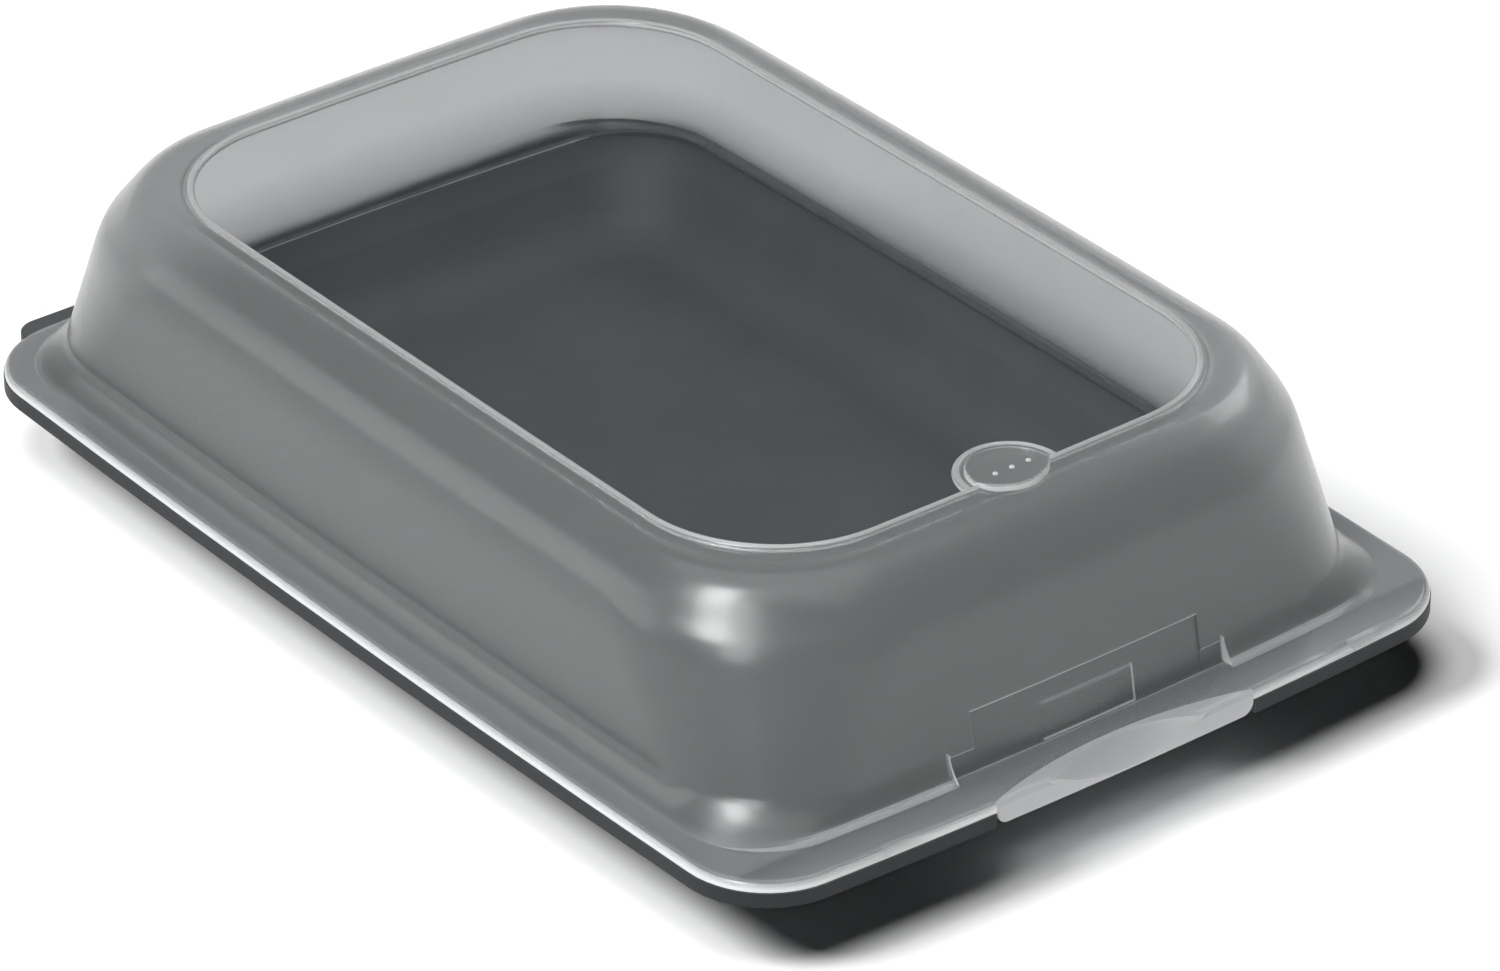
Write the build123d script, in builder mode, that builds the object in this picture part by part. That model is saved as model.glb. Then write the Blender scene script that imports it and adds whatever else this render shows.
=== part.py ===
from build123d import *
import os
from math import cos, radians, sin, sqrt, tan

# Cat litter tray with a clip-on hood: a frosted rim with an open top.
# Origin: centre of the tray's underside. +Y runs to the rear, the latch faces -Y, +Z is up.
# "Seat" is the height of the hood flange's lower edge; most heights are given from it.
# "Clear" is how far a cutting shape reaches past the material that it cuts.

os.makedirs("parts", exist_ok=True)

seat = 40.5
gap = 0.3
wall = 2.0
clear = 20.0

# Plan of the flange: half width, front and rear reach, corner radius, bow of long and short sides
flange_half_x = 200.0
flange_front = -285.7
flange_rear = 285.7
flange_radius = 41.0
flange_bow_x = 4.0
flange_bow_y = 6.2
flange_top = 4.5
flange_round = 4.0
flange_edge = 2.4
flange_underside = 2.5

# Opening in the top of the hood and its rolled bead
opening_half_x = 140.2
opening_front = -208.0
opening_rear = 230.8
opening_radius = 66.0
opening_bow_x = 0.5
opening_bow_y = 2.0
shoulder_top = 99.9
shoulder_land = 2.0
bead_radius = 1.9
bead_height = 98.9

# Hood wall: shoulder radius, lean and foot flare at the sides, front and rear
side_shoulder = 34.7
side_lean = radians(2.2)
side_flare = 9.0
front_shoulder = 40.3
front_lean = radians(11.4)
front_flare = 5.0
rear_shoulder = 38.9
rear_lean = radians(6.4)
rear_flare = 2.0
flare_height = 18.0
corner_heights = (0.0, 18.0, 42.0, 66.0, 84.0, 92.0, 96.0, 99.9)
corner_radii = (40.0, 61.0, 74.0, 87.0, 93.0, 84.0, 69.0, 66.5)
outer_foot = 3.0
inner_foot = 1.5
foot_step = 1.5
upright_step = 8.0
upright_sections = 6
shoulder_angles = (85.0, 72.0, 60.0, 48.0, 36.0, 24.0, 12.0, 0.0)

# Thumb pad on the front of the bead
pad_y = -207.0
pad_radius = 20.0
pad_front = -219.5
swing_radius = 23.2
swing_front = -209.0
pad_base = 96.5
pad_top = 102.2
pad_round = 1.4
dot_pitch = 9.0
dot_radius = 1.2
dot_height = 0.7
dot_round = 0.5

# Front wall: recess at the foot, shallow panel and blank name frame
recess_half_x = 74.7
recess_top = 15.0
recess_depth = 0.6
panel_half_x = 62.0
panel_top = 31.0
panel_depth = 0.9
frame_half_x = 25.0
frame_top = 22.0
frame_bottom = 5.5
frame_depth = 1.3
front_bow_rate = 6.0 / 180.0**2

# Latch: the sprung apron in the front flange
latch_half_x = 70.0
latch_bottom = -6.4
latch_corner = 5.5
latch_end_y = -283.0
latch_mid_y = -272.6
latch_gap = 0.35
scoop_start_y = -273.6
scoop_tilt = 40.0
scoop_radius = 105.0
scoop_skin = 1.9

# Tray: rim, skirt, rear lip, pan
skirt_bottom = -7.0
skirt_grow = 0.4
skirt_wall = 2.2
rim_underside = -2.3
step_inset = 2.8
step_top = 2.2
lip_half_x = 168.0
lip_rear = 291.5
lip_front = 240.0
lip_corner = 12.0
lip_top = 2.0
lip_gap = 0.6
pan_half_x = 187.0
pan_front = -262.0
pan_rear = 277.0
pan_radius = 46.0
ledge_inset = 8.0
ledge_level = -8.0
floor_inset = 26.1
floor_level = -38.0
floor_radius = 40.0
floor_round = 34.0
base_round = 30.0
pan_skin = 2.8
notch_half_x = 59.0
notch_y = -270.0
apron_recess_half_x = 71.0
apron_recess_y = -281.0


def bowed(half_x, front, rear, radius, bow_x, bow_y):
    """Face with four slightly bowed sides and rounded corners."""
    mid_y = (front + rear) / 2
    x = half_x - bow_x
    low = front + bow_y
    high = rear - bow_y
    with BuildSketch() as face:
        with BuildLine():
            ThreePointArc((x, low), (half_x, mid_y), (x, high))
            ThreePointArc((x, high), (0, rear), (-x, high))
            ThreePointArc((-x, high), (-half_x, mid_y), (-x, low))
            ThreePointArc((-x, low), (0, front), (x, low))
        make_face()
        fillet(face.vertices(), radius=radius)
    return face.sketch


def flange_plan(grow):
    """The flange outline, grown outwards (or inwards, if negative)."""
    return bowed(
        flange_half_x + grow, flange_front - grow, flange_rear + grow,
        flange_radius + grow, flange_bow_x, flange_bow_y,
    )


def opening_plan(grow):
    """The opening outline along the bead, grown outwards (or inwards, if negative)."""
    return bowed(
        opening_half_x + grow, opening_front - grow, opening_rear + grow,
        opening_radius + grow, opening_bow_x, opening_bow_y,
    )


def reach(z, opening, shoulder, lean, flare, skin):
    """How far a wall stands out at height z, measured from the middle, less a skin."""
    centre = opening + shoulder_land
    centre_z = shoulder_top - shoulder
    radius = shoulder - skin
    tangent_z = centre_z + radius * sin(lean)
    if z > tangent_z:
        return centre + sqrt(max(radius**2 - (z - centre_z) ** 2, 0))
    spread = centre + radius * cos(lean) + (tangent_z - z) * tan(lean)
    if z < flare_height:
        spread += flare * ((flare_height - z) / (flare_height - flange_top)) ** 2
    return spread


def corner_radius(z):
    """Corner radius of the hood wall at height z, between the listed heights."""
    for i in range(len(corner_heights) - 1):
        if z <= corner_heights[i + 1]:
            share = (z - corner_heights[i]) / (corner_heights[i + 1] - corner_heights[i])
            return corner_radii[i] + share * (corner_radii[i + 1] - corner_radii[i])
    return corner_radii[-1]


def hood_level(z, skin, front_spread):
    """One level of the hood wall, seen in plan."""
    side = reach(z, opening_half_x, side_shoulder, side_lean, side_flare, skin)
    front = reach(z, -opening_front, front_shoulder, front_lean, front_spread, skin)
    rear = reach(z, opening_rear, rear_shoulder, rear_lean, rear_flare, skin)
    foot = reach(flange_top, opening_half_x, side_shoulder, side_lean, side_flare, skin)
    part_in = (foot - side) / (foot - opening_half_x)
    return bowed(
        side, -front, rear, corner_radius(z + skin) - skin,
        flange_bow_x + part_in * (opening_bow_x - flange_bow_x),
        flange_bow_y + part_in * (opening_bow_y - flange_bow_y),
    )


def foot_levels(start):
    """Heights of the sections through the flared foot of the hood wall."""
    steps = round((flare_height - start) / foot_step)
    return [start + foot_step * i for i in range(steps + 1)]


def wall_levels(skin):
    """Heights of the sections through the upright hood wall and round its shoulder, at a skin."""
    upright = [flare_height + upright_step * i for i in range(upright_sections)]
    radius = side_shoulder - skin
    top = shoulder_top - skin
    return upright + [top - radius * (1 - cos(radians(angle))) for angle in shoulder_angles]


def pad_plan(half_x, front):
    """Plan of the thumb pad: round on the opening side, flatter towards its front."""
    with BuildSketch() as face:
        with BuildLine():
            ThreePointArc((-half_x, pad_y), (0, pad_y + half_x), (half_x, pad_y))
            ThreePointArc((half_x, pad_y), (0, front), (-half_x, pad_y))
        make_face()
    return face.sketch


def front_slab(half_x, low, depth):
    """Plan of a slab that cuts the front wall back by a depth below its surface at a height."""
    surface = reach(low, -opening_front, front_shoulder, front_lean, 0, 0) - depth
    edge = surface - front_bow_rate * half_x**2
    ahead = surface + clear
    with BuildSketch() as face:
        with BuildLine():
            ThreePointArc((-half_x, -edge), (0, -surface), (half_x, -edge))
            Polyline((half_x, -edge), (half_x, -ahead), (-half_x, -ahead), (-half_x, -edge))
        make_face()
    return face.sketch


def latch_plan(grow):
    """Plan of the latch: an arc across the front flange, open to the front."""
    end_x = latch_half_x + grow
    end_y = latch_end_y + grow
    ahead = flange_front - clear
    with BuildSketch() as face:
        with BuildLine():
            ThreePointArc((-end_x, end_y), (0, latch_mid_y + grow), (end_x, end_y))
            Polyline((end_x, end_y), (end_x, ahead), (-end_x, ahead), (-end_x, end_y))
        make_face()
    return face.sketch


def lip_plan(inset):
    """Plan of the tray's rear lip."""
    low = lip_front
    high = lip_rear - inset
    with BuildSketch() as face:
        with Locations((0, (low + high) / 2)):
            RectangleRounded(2 * (lip_half_x - inset), high - low, lip_corner - inset)
    return face.sketch


def pan_plan(inset, skin, radius):
    """Plan of the tray's pan at an inset from its rim edge, with a skin outside."""
    return bowed(
        pan_half_x - inset + skin, pan_front + inset - skin, pan_rear - inset + skin,
        radius + skin, flange_bow_x, flange_bow_y,
    )


front_slope = (0, sin(front_lean), cos(front_lean))

# Axis of the thumb scoop, which leans down towards the front
scoop_centre_y = scoop_start_y - scoop_radius * sin(radians(scoop_tilt))
scoop_centre_z = seat + flange_top + scoop_radius * cos(radians(scoop_tilt))
scoop_place = Location((0, scoop_centre_y, scoop_centre_z), (90 + scoop_tilt, 0, 0))


# Middle line of the bead, round the opening and round the thumb pad
with BuildSketch(Plane.XY.offset(seat + bead_height)) as bead_face:
    add(opening_plan(0))
bead_path = bead_face.sketch.wire()
swing_plan = pad_plan(swing_radius, swing_front)
with BuildLine(Plane.XY.offset(seat + bead_height)) as swing_line:
    ThreePointArc((-swing_radius, pad_y), (0, pad_y + swing_radius), (swing_radius, pad_y))
swing_path = swing_line.wire()


# Space inside the pan: a sloping ledge, a steeper wall and a floor, all run into each other
with BuildPart() as pan_space:
    with BuildSketch(Plane.XY.offset(seat + floor_level)):
        add(pan_plan(floor_inset, 0, floor_radius))
    with BuildSketch(Plane.XY.offset(seat + ledge_level)):
        add(pan_plan(ledge_inset, 0, pan_radius))
    loft(ruled=True)
    with BuildSketch(Plane.XY.offset(seat + ledge_level)):
        add(pan_plan(ledge_inset, 0, pan_radius))
    with BuildSketch(Plane.XY.offset(seat + step_top)):
        add(pan_plan(0, 0, pan_radius))
    loft(ruled=True)
    fillet(edges().group_by(Axis.Z)[0], radius=floor_round)

# Tray: a shallow pan with a flat rim, a skirt and a rear lip
with BuildPart() as tray:
    with BuildSketch(Plane.XY.offset(seat + skirt_bottom)):
        add(flange_plan(skirt_grow))
        add(lip_plan(0))
    extrude(amount=-gap - skirt_bottom)
    with BuildSketch(Plane.XY.offset(seat - gap)):
        add(flange_plan(-step_inset))
    extrude(amount=step_top + gap)
    with BuildSketch(Plane.XY.offset(seat - gap)):
        add(lip_plan(0))
        add(flange_plan(lip_gap), mode=Mode.SUBTRACT)
    extrude(amount=lip_top + gap)
    with BuildSketch(Plane.XY.offset(seat + skirt_bottom)):
        add(flange_plan(skirt_grow - skirt_wall))
        add(lip_plan(skirt_wall))
    extrude(amount=rim_underside - skirt_bottom, mode=Mode.SUBTRACT)
    with BuildSketch(Plane.XY):
        add(pan_plan(floor_inset, pan_skin, floor_radius))
    with BuildSketch(Plane.XY.offset(seat + ledge_level)):
        add(pan_plan(ledge_inset, pan_skin, pan_radius))
    loft(ruled=True)
    fillet(edges().group_by(Axis.Z)[0], radius=base_round)
    with BuildSketch(Plane.XY.offset(seat + ledge_level)):
        add(pan_plan(ledge_inset, pan_skin, pan_radius))
    with BuildSketch(Plane.XY.offset(seat + rim_underside)):
        add(pan_plan(0, pan_skin, pan_radius))
    loft(ruled=True)
    add(pan_space.part, mode=Mode.SUBTRACT)
    # room for the latch at the front
    with Locations((0, apron_recess_y - clear, seat)):
        Box(2 * apron_recess_half_x, 2 * clear, 2 * clear, mode=Mode.SUBTRACT)
    with Locations((0, notch_y - clear, seat)):
        Box(2 * notch_half_x, 2 * clear, 2 * clear, mode=Mode.SUBTRACT)
tray.part.label = "tray"
export_step(tray.part, "parts/tray.step")


# Thumb pad with three grip dots, moulded into the front of the bead
with BuildPart() as thumb_pad:
    with BuildSketch(Plane.XY.offset(seat + pad_base)):
        add(pad_plan(pad_radius, pad_front))
    extrude(amount=pad_top - pad_base)
    fillet(edges().group_by(Axis.Z)[-1], radius=pad_round)
    with BuildSketch(Plane.XY.offset(seat + pad_top)):
        with Locations((0, pad_y)):
            with GridLocations(dot_pitch, 0, 3, 1):
                Circle(dot_radius)
    extrude(amount=dot_height)
    fillet(edges().group_by(Axis.Z)[-1], radius=dot_round)

# Hood: flange, leaning wall with a wide shoulder, beaded opening and thumb pad
with BuildPart() as hood:
    with BuildSketch(Plane.XY.offset(seat)):
        add(flange_plan(0))
    extrude(amount=flange_top)
    fillet(edges().group_by(Axis.Z)[-1], radius=flange_round)
    with BuildSketch(Plane.XY.offset(seat)):
        add(flange_plan(-flange_edge))
    extrude(amount=flange_underside, mode=Mode.SUBTRACT)
    for level in foot_levels(outer_foot):
        with BuildSketch(Plane.XY.offset(seat + level)):
            add(hood_level(level, 0, front_flare))
    loft()
    for level in wall_levels(0):
        with BuildSketch(Plane.XY.offset(seat + level)):
            add(hood_level(level, 0, front_flare))
    loft()
    for level in foot_levels(inner_foot):
        with BuildSketch(Plane.XY.offset(seat + level)):
            add(hood_level(level, wall, 0))
    loft(mode=Mode.SUBTRACT)
    for level in wall_levels(wall):
        with BuildSketch(Plane.XY.offset(seat + level)):
            add(hood_level(level, wall, 0))
    loft(mode=Mode.SUBTRACT)
    # front wall details
    with BuildSketch(Plane.XY.offset(seat + flange_top)):
        add(front_slab(recess_half_x, flange_top, recess_depth))
    extrude(amount=(recess_top - flange_top) / cos(front_lean), dir=front_slope, mode=Mode.SUBTRACT)
    with BuildSketch(Plane.XY.offset(seat + flange_top)):
        add(front_slab(panel_half_x, flange_top, panel_depth))
    extrude(amount=(panel_top - flange_top) / cos(front_lean), dir=front_slope, mode=Mode.SUBTRACT)
    with BuildSketch(Plane.XY.offset(seat + frame_bottom)):
        add(front_slab(frame_half_x, frame_bottom, frame_depth))
    extrude(amount=(frame_top - frame_bottom) / cos(front_lean), dir=front_slope, mode=Mode.SUBTRACT)
    # opening, with a rolled bead that swings round the thumb pad
    with BuildSketch(Plane.XY.offset(seat + shoulder_top - 2 * wall)):
        add(opening_plan(0))
    extrude(amount=3 * wall, mode=Mode.SUBTRACT)
    with BuildSketch(Plane(origin=bead_path @ 0, z_dir=bead_path % 0)):
        Circle(bead_radius)
    sweep(path=bead_path)
    with BuildSketch(Plane.XY.offset(seat + shoulder_top - wall)):
        add(swing_plan)
    extrude(amount=wall)
    with BuildSketch(Plane(origin=swing_path @ 0, z_dir=swing_path % 0)):
        Circle(bead_radius)
    sweep(path=swing_path)
    add(thumb_pad.part)
    # notch for the latch
    with BuildSketch(Plane.XY.offset(seat - gap)):
        add(latch_plan(latch_gap))
    extrude(amount=flange_top + 2 * gap, mode=Mode.SUBTRACT)
hood.part.label = "hood"
export_step(hood.part, "parts/hood.step")

# Skin under the thumb scoop, inside the flange outline
with BuildPart() as scoop_shell:
    with Locations(scoop_place):
        Cylinder(scoop_radius + scoop_skin, 2 * flange_half_x)
        Cylinder(scoop_radius, 2 * flange_half_x, mode=Mode.SUBTRACT)
    with BuildSketch(Plane.XY.offset(seat + latch_bottom)):
        add(flange_plan(0))
    extrude(amount=flange_top - latch_bottom, mode=Mode.INTERSECT)

# Front latch: an apron on the flange with a smile-shaped thumb scoop
with BuildPart() as front_latch:
    with BuildSketch(Plane.XY.offset(seat + latch_bottom)):
        add(flange_plan(0))
    extrude(amount=flange_top - latch_bottom)
    fillet(edges().group_by(Axis.Z)[-1], radius=flange_round)
    with BuildSketch(Plane.XY.offset(seat + latch_bottom)):
        add(flange_plan(-flange_edge))
    extrude(amount=flange_underside - latch_bottom, mode=Mode.SUBTRACT)
    add(scoop_shell.part)
    with Locations(scoop_place):
        Cylinder(scoop_radius, 2 * flange_half_x, mode=Mode.SUBTRACT)
    with BuildSketch(Plane.XY.offset(seat + latch_bottom)):
        add(latch_plan(0))
    extrude(amount=flange_top - latch_bottom, mode=Mode.INTERSECT)
    apron_corners = edges().filter_by(Axis.Y).group_by(Axis.Z)[0]
    fillet(apron_corners, radius=latch_corner)
front_latch.part.label = "front_latch"
export_step(front_latch.part, "parts/front_latch.step")
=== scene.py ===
from math import cos, radians, sin

import bpy
from mathutils import Matrix, Vector


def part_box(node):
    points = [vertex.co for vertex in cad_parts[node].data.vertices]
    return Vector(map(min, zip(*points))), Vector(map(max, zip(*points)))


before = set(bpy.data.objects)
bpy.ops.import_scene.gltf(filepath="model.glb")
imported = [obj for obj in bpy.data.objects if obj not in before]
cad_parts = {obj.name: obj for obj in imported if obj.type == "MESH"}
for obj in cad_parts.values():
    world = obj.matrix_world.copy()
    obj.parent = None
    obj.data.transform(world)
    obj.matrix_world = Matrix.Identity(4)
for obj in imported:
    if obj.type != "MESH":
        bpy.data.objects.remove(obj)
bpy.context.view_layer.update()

# Camera: where it aims, how it stands and its lens
AIM = Vector((0.0122, -0.0192, 0.0405))
AZIMUTH = radians(-38.86)
ELEVATION = radians(30.92)
ROLL = radians(0.53)
DISTANCE = 3.344
LENS = 183.2
SENSOR = 36.0
CLIP_END = 50

# Softboxes: name, place, width and depth in metres, power in watts, and what it lights
SOFTBOXES = (
    ("main", (-1.33, -0.5, 1.58), 0.45, 1.0, 20.0, "object"),
    ("overhead", (-0.2, -0.3, 2.2), 2.4, 2.4, 21.0, "object"),
    ("side", (1.7, 0.2, 1.3), 0.9, 0.8, 6.5, "object"),
    ("front", (-1.7, -1.15, 1.3), 0.6, 1.4, 12.0, "hood"),
    ("left", (-2.1, 1.2, 0.9), 2.0, 1.2, 12.0, "object"),
)
# Far lights, for the floor only: name, where from, angle that each fills, and strength
FAR_LIGHTS = (
    ("backdrop_key", (-0.62, -0.2, 2.5), radians(28), 1.75),
    ("backdrop_fill", (-1.5, 0.55, 1.9), radians(23), 3.3),
)
SKY = 0.8
# The floor: half its side, its level just under the tray's underside, and its two whites
FLOOR_HALF = 8.0
FLOOR_LEVEL = -0.0003
FLOOR_WHITE = 0.9
FLOOR_WHITEST = FLOOR_WHITE + 0.02

# Both plastics are polypropylene
IOR = 1.49
# Noises: how many features per metre, and how much detail; they all share one roughness
NOISE_ROUGHNESS = 0.55
TRAY_COLOUR_NOISE = (18, 3)
TRAY_GLOSS_NOISE = (60, 4)
TRAY_GRAIN_NOISE = (2600, 2)
TRAY_RIPPLE_NOISE = (14, 2)
FROST_COLOUR_NOISE = (9, 3)
FROST_GLOSS_NOISE = (40, 4)
FROST_GRAIN_NOISE = (900, 2)
FLOOR_NOISE = (3, 2)
# Between which noise values a colour goes from its dark form to its light one
TINT_START = 0.25
TINT_STOP = 0.75

# Anthracite: its two greys, the painted shade on its outside faces, the outwardness over which it
# turns to that, its least and most roughness, and how much it reflects
TRAY_DARK = (0.071, 0.078, 0.081)
TRAY_LIGHT = (0.084, 0.092, 0.095)
SKIRT_PAINTED_SHADE = (0.024, 0.027, 0.029)
OUTSIDE = (0.08, 0.15)
TRAY_ROUGHNESS = (0.5, 0.62)
TRAY_SPECULAR = 0.25
# Bumps: depth in metres and strength
TRAY_GRAIN = (0.00012, 0.25)
TRAY_RIPPLE = (0.0012, 0.2)
FROST_GRAIN = (0.0001, 0.06)

# Frosted plastic: the wall's two greys, the painted shade at its foot inside, the flange, the
# flange's painted shade and painted light, and the pale edges, partly painted highlight
WALL_DARK = (0.46, 0.47, 0.475)
WALL_LIGHT = (0.48, 0.49, 0.495)
FOOT_PAINTED_SHADE = (0.22, 0.225, 0.23)
FLANGE_MILK = (0.53, 0.545, 0.555)
FLANGE_PAINTED_SHADE = (0.3, 0.31, 0.315)
FLANGE_PAINTED_LIGHT = (0.62, 0.63, 0.64)
EDGE_MILK_AND_HIGHLIGHT = (0.84, 0.845, 0.85)
# How far the flange takes its own colour, and the most that the front flange takes of its painted
# shade and of its painted light
FLANGE_SHARE = 0.8
SHADE_SHARE = 0.65
LIGHT_SHARE = 0.8
# How much light the wall and the flange transmit, and how much of that a thick edge or a painted
# highlight takes away
WALL_CLEARNESS = 0.92
FLANGE_CLEARNESS = 0.84
EDGE_CLOUDING = 0.55
# Its least and most roughness
FROST_ROUGHNESS = (0.21, 0.26)
# What one face of the frosted wall lets through to a lamp's rays
SHADE_TINT = (0.55, 0.555, 0.56)

# Heights over which the frosted plastic changes, from the tops of the flange and of the grip dots
FLANGE_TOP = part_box("front_latch")[1][2]
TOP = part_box("hood")[1][2]
FLANGE_FADE = (FLANGE_TOP, FLANGE_TOP + 0.0015)
LIP_FADE = (FLANGE_TOP - 0.0008, FLANGE_TOP - 0.0002)
FOOT_FADE = (FLANGE_TOP, FLANGE_TOP + 0.04)
HIGH_FADE = (TOP - 0.0065, TOP - 0.005)
CREST_RISE = (TOP - 0.0029, TOP - 0.0026)
CREST_FALL = (TOP - 0.0016, TOP - 0.0012)
DOTS_FADE = (TOP - 0.0006, TOP - 0.0003)
# How far the crest between CREST_RISE and CREST_FALL counts as thick, its pale colour partly a
# painted highlight
CREST_SHARE = 0.6
# Slopes, from 0 flat to 1 upright, over which an edge starts to count as steep, and the
# outwardness over which a face turns from inner to outer
STEEP_FADE = (0.2, 0.8)
INNER_FADE = (-0.06, 0.0)
# Places along Y over which the front flange takes its painted shade and light, set out from
# FRONT_FLANGE, and the place in front of which the front wall's painted step highlights show
FRONT_FLANGE = -0.2685
NEAR_WALL_FADE = (FRONT_FLANGE - 0.0055, FRONT_FLANGE + 0.0055)
AT_FRONT_FADE = (FRONT_FLANGE + 0.0065, FRONT_FLANGE + 0.008)
NEAR_LIP_FADE = (FRONT_FLANGE - 0.0155, FRONT_FLANGE - 0.0035)
FRONT_WALL_FADE = (-0.201, -0.2)
# Painted highlights on the edges of the steps on the front wall: sides, then low and high across and
# in height, strength.
# Each fades out over LINE_SOFT on both sides of its ends.
LINE_SOFT = 0.0003
FRONT_LINE_HIGHLIGHTS = (
    ("both", 0.0742, 0.0756, 0.0458, 0.0570, 0.7),
    ("across", -0.0620, 0.0620, 0.0709, 0.0716, 0.4),
    ("across", -0.0250, 0.0250, 0.0606, 0.0626, 0.22),
    ("across", 0.0246, 0.0254, 0.0458, 0.0626, 0.6),
    ("across", -0.0250, 0.0250, 0.0455, 0.0463, 0.6),
)


def camera():
    """The camera, turned by azimuth, elevation and roll about its aim."""
    back = Vector((
        sin(AZIMUTH) * cos(ELEVATION), -cos(AZIMUTH) * cos(ELEVATION), sin(ELEVATION),
    ))
    level = Vector((0, 0, 1)).cross(back).normalized()
    rise = back.cross(level)
    right = level * cos(ROLL) + rise * sin(ROLL)
    up = rise * cos(ROLL) - level * sin(ROLL)
    data = bpy.data.cameras.new("camera")
    data.sensor_width = SENSOR
    data.lens = LENS
    data.clip_end = CLIP_END
    stand = bpy.data.objects.new("camera", data)
    bpy.context.scene.collection.objects.link(stand)
    turn = Matrix((right, up, back)).transposed().to_4x4()
    stand.matrix_world = Matrix.Translation(AIM + back * DISTANCE) @ turn
    bpy.context.scene.camera = stand


def lamp_on(data, place, lit):
    """Puts up a lamp that points at the object and lights only what is lit."""
    lamp = bpy.data.objects.new(data.name, data)
    bpy.context.scene.collection.objects.link(lamp)
    lamp.location = place
    lamp.rotation_euler = (AIM - lamp.location).to_track_quat("-Z", "Y").to_euler()
    receivers = bpy.data.collections.new(data.name + "_lights")
    for piece in lit:
        receivers.objects.link(piece)
    lamp.light_linking.receiver_collection = receivers


def softbox(name, place, width, depth, power, lit):
    """A rectangular studio light."""
    data = bpy.data.lights.new(name, "AREA")
    data.shape = "RECTANGLE"
    data.size = width
    data.size_y = depth
    data.energy = power
    lamp_on(data, place, lit)


def far_light(name, place, angle, strength, lit):
    """A soft light from so far away that it lights the whole floor evenly."""
    data = bpy.data.lights.new(name, "SUN")
    data.angle = angle
    data.energy = strength
    lamp_on(data, place, lit)


def sky():
    """A white surround that shows in gloss and through clear plastic, but adds no diffuse light."""
    world = bpy.data.worlds.new("studio")
    world.use_nodes = True
    background = world.node_tree.nodes["Background"]
    background.inputs["Color"].default_value = (1, 1, 1, 1)
    background.inputs["Strength"].default_value = SKY
    world.cycles_visibility.diffuse = False
    bpy.context.scene.world = world


def new_material(name):
    """A node material with its tree and its Principled shader."""
    material = bpy.data.materials.new(name)
    material.use_nodes = True
    return material, material.node_tree, material.node_tree.nodes["Principled BSDF"]


def noise(tree, scale, detail):
    """Noise in the object's own metres, scale in features per metre."""
    place = tree.nodes.new("ShaderNodeTexCoord")
    texture = tree.nodes.new("ShaderNodeTexNoise")
    texture.inputs["Scale"].default_value = scale
    texture.inputs["Detail"].default_value = detail
    texture.inputs["Roughness"].default_value = NOISE_ROUGHNESS
    tree.links.new(place.outputs["Object"], texture.inputs["Vector"])
    return texture.outputs["Fac"]


def spread(tree, source, low, high, start=0.0, stop=1.0):
    """Maps a value from start..stop to low..high and holds it there."""
    node = tree.nodes.new("ShaderNodeMapRange")
    node.inputs["From Min"].default_value = start
    node.inputs["From Max"].default_value = stop
    node.inputs["To Min"].default_value = low
    node.inputs["To Max"].default_value = high
    tree.links.new(source, node.inputs["Value"])
    return node.outputs["Result"]


def calculate(tree, operation, first, second=None):
    """A Math node on one or two values, each a socket or a number."""
    node = tree.nodes.new("ShaderNodeMath")
    node.operation = operation
    for socket, value in zip(node.inputs, (first, second)):
        if isinstance(value, (int, float)):
            socket.default_value = value
        elif value is not None:
            tree.links.new(value, socket)
    return node.outputs["Value"]


def product(tree, first, *others):
    """Values multiplied together."""
    for other in others:
        first = calculate(tree, "MULTIPLY", first, other)
    return first


def largest(tree, first, *others):
    """The largest of some values."""
    for other in others:
        first = calculate(tree, "MAXIMUM", first, other)
    return first


def tint(tree, source, dark, light):
    """Maps a value from 0..1 to a colour between dark and light."""
    ramp = tree.nodes.new("ShaderNodeValToRGB")
    ramp.color_ramp.elements[0].position = TINT_START
    ramp.color_ramp.elements[0].color = (*dark, 1)
    ramp.color_ramp.elements[1].position = TINT_STOP
    ramp.color_ramp.elements[1].color = (*light, 1)
    tree.links.new(source, ramp.inputs["Fac"])
    return ramp.outputs["Color"]


def blend_colour(tree, share, first, second):
    """The first colour, turning to the second as share goes from 0 to 1."""
    node = tree.nodes.new("ShaderNodeMix")
    node.data_type = "RGBA"
    tree.links.new(share, node.inputs["Factor"])
    tree.links.new(first, node.inputs["A"])
    node.inputs["B"].default_value = (*second, 1)
    return node.outputs["Result"]


def bump(tree, height, depth, strength, normal=None):
    """The bumps of a height field, on top of another normal if there is one."""
    node = tree.nodes.new("ShaderNodeBump")
    node.inputs["Distance"].default_value = depth
    node.inputs["Strength"].default_value = strength
    tree.links.new(height, node.inputs["Height"])
    if normal is not None:
        tree.links.new(normal, node.inputs["Normal"])
    return node.outputs["Normal"]


def surface(tree):
    """Where the shaded point is, in the object's own metres, and which way its face looks."""
    place = tree.nodes.new("ShaderNodeTexCoord").outputs["Object"]
    facing = tree.nodes.new("ShaderNodeNewGeometry").outputs["Normal"]
    return place, facing


def outwardness(tree, place, facing):
    """Above 0 on faces that look away from the middle of the object, below 0 inside it."""
    node = tree.nodes.new("ShaderNodeVectorMath")
    node.operation = "DOT_PRODUCT"
    tree.links.new(place, node.inputs[0])
    tree.links.new(facing, node.inputs[1])
    return node.outputs["Value"]


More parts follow.
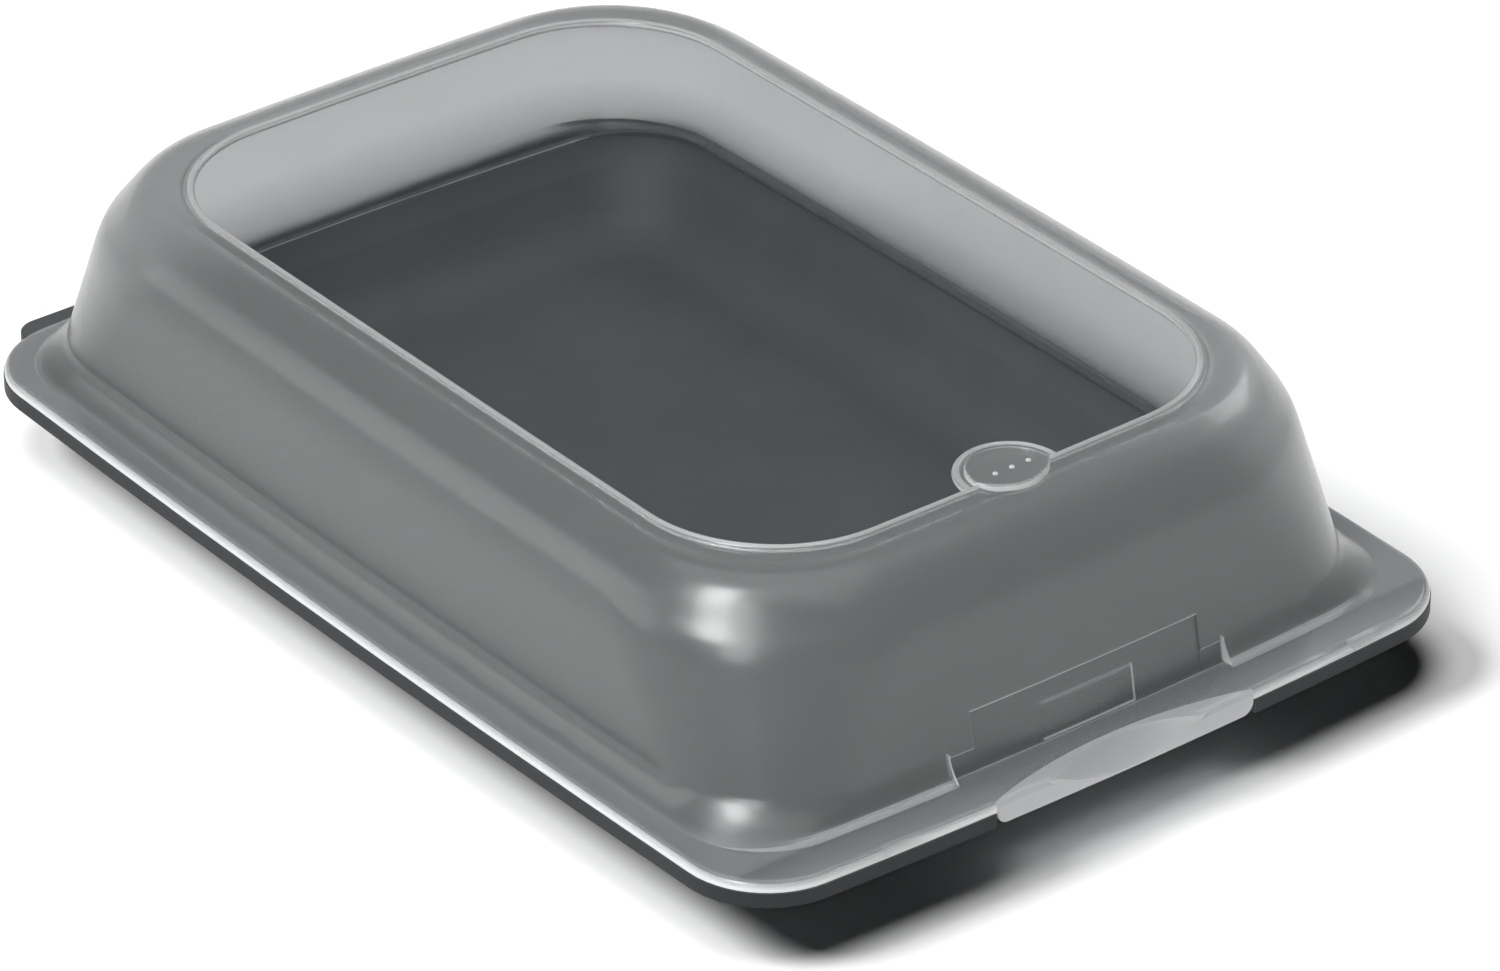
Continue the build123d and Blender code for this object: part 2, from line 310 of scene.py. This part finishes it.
def anthracite():
    """Satin anthracite polypropylene with a fine moulded grain, its outside faces darkened by painted
    shade.
    """
    material, tree, shader = new_material("tray_anthracite")
    outside = spread(tree, outwardness(tree, *surface(tree)), 0, 1, *OUTSIDE)
    colour = tint(tree, noise(tree, *TRAY_COLOUR_NOISE), TRAY_DARK, TRAY_LIGHT)
    # painted shade: outward faces, the skirt above all, are darkened as if standing in shadow
    colour = blend_colour(tree, outside, colour, SKIRT_PAINTED_SHADE)
    tree.links.new(colour, shader.inputs["Base Color"])
    roughness = spread(tree, noise(tree, *TRAY_GLOSS_NOISE), *TRAY_ROUGHNESS)
    tree.links.new(roughness, shader.inputs["Roughness"])
    grain = bump(tree, noise(tree, *TRAY_GRAIN_NOISE), *TRAY_GRAIN)
    ripple = bump(tree, noise(tree, *TRAY_RIPPLE_NOISE), *TRAY_RIPPLE, grain)
    tree.links.new(ripple, shader.inputs["Normal"])
    shader.inputs["IOR"].default_value = IOR
    shader.inputs["Specular IOR Level"].default_value = TRAY_SPECULAR
    return material


def within(tree, value, low, high):
    """1 where a value lies between low and high, falling to 0 over a short way outside."""
    rise = spread(tree, value, 0, 1, low - LINE_SOFT, low + LINE_SOFT)
    fall = spread(tree, value, 1, 0, high - LINE_SOFT, high + LINE_SOFT)
    return product(tree, rise, fall)


def axes(tree, source):
    """The three parts of a vector."""
    parts = tree.nodes.new("ShaderNodeSeparateXYZ")
    tree.links.new(source, parts.inputs["Vector"])
    return parts.outputs


def moulded_line_highlights(tree, across, along, height):
    """Painted highlights on the edges of the fine steps on the front wall."""
    beside = calculate(tree, "ABSOLUTE", across)
    lines = []
    for sides, low, high, bottom, top, strength in FRONT_LINE_HIGHLIGHTS:
        inside = within(tree, beside if sides == "both" else across, low, high)
        lines.append(product(tree, inside, within(tree, height, bottom, top), strength))
    # painted highlight, shown only on the front wall
    return product(tree, largest(tree, *lines), spread(tree, along, 1, 0, *FRONT_WALL_FADE))


def thick_and_highlit_places(tree, place, facing):
    """Where the frosted plastic is thick or a highlight is painted: the lip, the bead, the pad's
    edge, the dots, fine steps.
    """
    across, along, height = axes(tree, place)
    slope = calculate(tree, "SUBTRACT", 1.0, calculate(tree, "ABSOLUTE", axes(tree, facing)["Z"]))
    # partly milky thick plastic, partly painted highlight: the lip, the bead and the pad's edge
    lip = spread(tree, height, 1, 0, *LIP_FADE)
    high = spread(tree, height, 0, 1, *HIGH_FADE)
    rim = product(tree, largest(tree, lip, high), spread(tree, slope, 0, 1, *STEEP_FADE))
    crest = product(
        tree,
        spread(tree, height, 0, CREST_SHARE, *CREST_RISE),
        spread(tree, height, 1, 0, *CREST_FALL),
    )
    dots = spread(tree, height, 0, 1, *DOTS_FADE)
    lines = moulded_line_highlights(tree, across, along, height)
    return largest(tree, largest(tree, rim, largest(tree, crest, dots)), lines)


def frosted_colour(tree, place, facing, flange, thick):
    """Grey walls with painted shade at their foot inside, a milky flange with painted shade by the
    front wall and painted light towards its front lip, and pale edges that are partly painted
    highlight.
    """
    along, height = (axes(tree, place)[axis] for axis in "YZ")
    # painted shade: inner faces darken towards the foot of the wall
    inner = spread(tree, outwardness(tree, place, facing), 1, 0, *INNER_FADE)
    foot = product(tree, inner, spread(tree, height, 1, 0, *FOOT_FADE))
    # painted shade: the front flange is darkened next to the wall's foot
    near_wall = spread(tree, along, 0, SHADE_SHARE, *NEAR_WALL_FADE)
    at_front = spread(tree, along, 1, 0, *AT_FRONT_FADE)
    # painted light: the front flange is lightened towards its lip
    near_lip = spread(tree, along, LIGHT_SHARE, 0, *NEAR_LIP_FADE)
    layers = (
        (foot, FOOT_PAINTED_SHADE),
        (product(tree, flange, FLANGE_SHARE), FLANGE_MILK),
        (product(tree, near_wall, at_front, flange), FLANGE_PAINTED_SHADE),
        (product(tree, near_lip, flange), FLANGE_PAINTED_LIGHT),
        # pale edges: partly milky thick plastic, partly painted highlight
        (thick, EDGE_MILK_AND_HIGHLIGHT),
    )
    colour = tint(tree, noise(tree, *FROST_COLOUR_NOISE), WALL_DARK, WALL_LIGHT)
    for share, layer in layers:
        colour = blend_colour(tree, share, colour, layer)
    return colour


def frosted(name, milk, edge):
    """Frosted smoky polypropylene: clearer in the thin wall, milkier in rims and edges, which also
    carry painted highlights.

    milk is clearness taken away all over, and edge is how strongly the thick places and their painted
    highlights show.
    """
    material, tree, shader = new_material(name)
    place, facing = surface(tree)
    flange = spread(tree, axes(tree, place)["Z"], 1, 0, *FLANGE_FADE)
    thick = product(tree, thick_and_highlit_places(tree, place, facing), edge)
    colour = frosted_colour(tree, place, facing, flange, thick)
    tree.links.new(colour, shader.inputs["Base Color"])
    clear = spread(tree, flange, WALL_CLEARNESS - milk, FLANGE_CLEARNESS - milk)
    clear = calculate(tree, "SUBTRACT", clear, product(tree, thick, EDGE_CLOUDING))
    tree.links.new(largest(tree, clear, 0.0), shader.inputs["Transmission Weight"])
    roughness = spread(tree, noise(tree, *FROST_GLOSS_NOISE), *FROST_ROUGHNESS)
    tree.links.new(roughness, shader.inputs["Roughness"])
    shader.inputs["IOR"].default_value = IOR
    tree.links.new(bump(tree, noise(tree, *FROST_GRAIN_NOISE), *FROST_GRAIN), shader.inputs["Normal"])

    # lamps shine through the wall
    through = tree.nodes.new("ShaderNodeBsdfTransparent")
    through.inputs["Color"].default_value = (*SHADE_TINT, 1)
    path = tree.nodes.new("ShaderNodeLightPath")
    switch = tree.nodes.new("ShaderNodeMixShader")
    tree.links.new(path.outputs["Is Shadow Ray"], switch.inputs["Fac"])
    tree.links.new(shader.outputs["BSDF"], switch.inputs[1])
    tree.links.new(through.outputs["BSDF"], switch.inputs[2])
    tree.links.new(switch.outputs["Shader"], tree.nodes["Material Output"].inputs["Surface"])
    return material


def floor():
    """A matt white floor, staged so that it isn't part of the object."""
    material, tree, shader = new_material("floor_white")
    colour = tint(tree, noise(tree, *FLOOR_NOISE), (FLOOR_WHITE,) * 3, (FLOOR_WHITEST,) * 3)
    tree.links.new(colour, shader.inputs["Base Color"])
    shader.inputs["Roughness"].default_value = 1.0
    shader.inputs["Specular IOR Level"].default_value = 0.0
    mesh = bpy.data.meshes.new("floor")
    corners = [
        (x * FLOOR_HALF, y * FLOOR_HALF, FLOOR_LEVEL)
        for x, y in ((-1, -1), (1, -1), (1, 1), (-1, 1))
    ]
    mesh.from_pydata(corners, [], [(0, 1, 2, 3)])
    mesh.materials.append(material)
    ground = bpy.data.objects.new("floor", mesh)
    bpy.context.scene.collection.objects.link(ground)
    return ground


def paint(node, material):
    """Gives a CAD node its material."""
    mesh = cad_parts[node].data
    mesh.materials.clear()
    mesh.materials.append(material)


camera()
sky()
lit = {
    "floor": [floor()],
    "object": list(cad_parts.values()),
    "hood": [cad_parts[node] for node in ("hood", "front_latch")],
}
for *box, receiver in SOFTBOXES:
    softbox(*box, lit[receiver])
for light in FAR_LIGHTS:
    far_light(*light, lit["floor"])
paint("tray", anthracite())
paint("hood", frosted("hood_frosted", 0.0, 1.0))
paint("front_latch", frosted("latch_frosted", 0.3, 0.3))
bpy.context.scene.view_settings.view_transform = "Standard"
